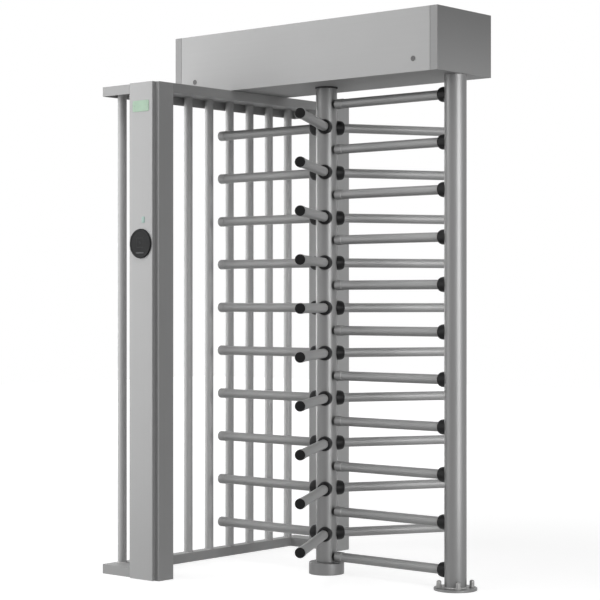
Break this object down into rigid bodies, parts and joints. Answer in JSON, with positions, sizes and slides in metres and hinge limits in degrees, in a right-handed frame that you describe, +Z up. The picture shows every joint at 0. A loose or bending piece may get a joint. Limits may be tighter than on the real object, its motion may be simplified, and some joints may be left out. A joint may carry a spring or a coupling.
{
  "type": "full height turnstile",
  "caption": "Full height turnstile: a three-wing rotor of round arms under an overhead lock housing, with a comb barrier, a tube guard and a card reader post.",
  "frame": {"origin": "rotor axis at floor level, under the middle of the floor pivot base", "axes": "+Z up, +X along the overhead housing from the guard to the barrier post, +Y along the way through, from the reader side to the rear"},
  "size_m": [1.466, 1.287, 2.302],
  "materials": {
    "satin_steel": "satin brushed stainless tube",
    "brushed_panel": "fine brushed stainless sheet",
    "zinc_steel": "bright zinc plated steel",
    "black_plastic": "black moulded plastic",
    "green_lens": "pale green diffusing lens",
    "solenoid_coil": "dark blue wrapped coil in a steel yoke"
  },
  "bodies": {
    "frame": {"barrier_post": "satin_steel", "barrier_flange": "satin_steel", "guard_grille": "satin_steel", "floor_pivot_base": "satin_steel", "barrier_arm_01": "satin_steel", "barrier_arm_02": "satin_steel", "barrier_arm_03": "satin_steel", "barrier_arm_04": "satin_steel", "barrier_arm_05": "satin_steel", "barrier_arm_06": "satin_steel", "barrier_arm_07": "satin_steel", "barrier_arm_08": "satin_steel", "barrier_arm_09": "satin_steel", "barrier_arm_10": "satin_steel", "barrier_arm_11": "satin_steel", "front_cabinet_housing": "brushed_panel", "front_cabinet_cover": "brushed_panel", "rear_cabinet_housing": "brushed_panel", "rear_cabinet_cover": "brushed_panel", "guard_top_tray": "brushed_panel", "head_chassis": "brushed_panel", "head_lid": "brushed_panel", "anchor_bolt_1": "zinc_steel", "anchor_bolt_2": "zinc_steel", "anchor_bolt_3": "zinc_steel", "anchor_bolt_4": "zinc_steel", "top_bearing": "zinc_steel", "mechanism_plate": "zinc_steel", "power_supply": "zinc_steel", "card_reader": "black_plastic", "column_seal": "black_plastic", "control_unit": "black_plastic", "status_lens": "green_lens", "lock_solenoid_1": "solenoid_coil", "lock_solenoid_2": "solenoid_coil"},
    "rotor": {"rotor_column": "satin_steel", "rotor_tier_01": "satin_steel", "rotor_tier_02": "satin_steel", "rotor_tier_03": "satin_steel", "rotor_tier_04": "satin_steel", "rotor_tier_05": "satin_steel", "rotor_tier_06": "satin_steel", "rotor_tier_07": "satin_steel", "rotor_tier_08": "satin_steel", "rotor_tier_09": "satin_steel", "rotor_tier_10": "satin_steel", "rotor_shaft": "zinc_steel", "centring_cam": "zinc_steel", "locking_disc": "zinc_steel", "shaft_nut": "zinc_steel"},
    "head_cover": {"head_front_cover": "brushed_panel"},
    "lock_left": {"cover_lock_left": "zinc_steel"},
    "lock_right": {"cover_lock_right": "zinc_steel"},
    "pawl_1": {"lock_pawl_1": "zinc_steel"},
    "pawl_2": {"lock_pawl_2": "zinc_steel"},
    "plunger_1": {"lock_plunger_1": "satin_steel"},
    "plunger_2": {"lock_plunger_2": "satin_steel"},
    "lever": {"centring_lever": "zinc_steel", "centring_spring": "satin_steel"},
    "roller": {"centring_roller": "black_plastic"}
  },
  "joints": [
    {"name": "rotor_spin", "type": "hinge", "parent": "frame", "child": "rotor", "pos_m": [0, 0, 0.05], "axis": [0, 0, 1], "continuous": true},
    {"name": "head_cover_hinge", "type": "hinge", "parent": "frame", "child": "head_cover", "pos_m": [0, -0.174, 2.293], "axis": [-1, 0, 0], "range_deg": [0, 95]},
    {"name": "cover_lock_left_turn", "type": "hinge", "parent": "head_cover", "child": "lock_left", "pos_m": [-0.594, -0.183, 2.102], "axis": [0, 1, 0], "range_deg": [0, 90]},
    {"name": "cover_lock_right_turn", "type": "hinge", "parent": "head_cover", "child": "lock_right", "pos_m": [0.594, -0.183, 2.102], "axis": [0, -1, 0], "range_deg": [0, 90]},
    {"name": "pawl_1_swing", "type": "hinge", "parent": "frame", "child": "pawl_1", "pos_m": [0.13, 0.075, 2.167], "axis": [0, 0, 1], "range_deg": [-12, 0]},
    {"name": "pawl_2_swing", "type": "hinge", "parent": "frame", "child": "pawl_2", "pos_m": [-0.13, -0.075, 2.167], "axis": [0, 0, 1], "range_deg": [-12, 0]},
    {"name": "plunger_1_slide", "type": "slide", "parent": "frame", "child": "plunger_1", "axis": [1, 0, 0], "range_m": [0, 0.0116]},
    {"name": "plunger_2_slide", "type": "slide", "parent": "frame", "child": "plunger_2", "axis": [-1, 0, 0], "range_m": [0, 0.0116]},
    {"name": "centring_lever_swing", "type": "hinge", "parent": "frame", "child": "lever", "pos_m": [-0.098, 0.118, 2.137], "axis": [0, 0, 1], "range_deg": [0, 10]},
    {"name": "centring_roller_spin", "type": "hinge", "parent": "lever", "child": "roller", "pos_m": [0, 0.0996, 2.15], "axis": [0, 0, 1], "continuous": true}
  ],
  "couplings": [
    {"joint": "plunger_1_slide", "follows": "pawl_1_swing", "m_per_rad": -0.055},
    {"joint": "plunger_2_slide", "follows": "pawl_2_swing", "m_per_rad": -0.055}
  ]
}
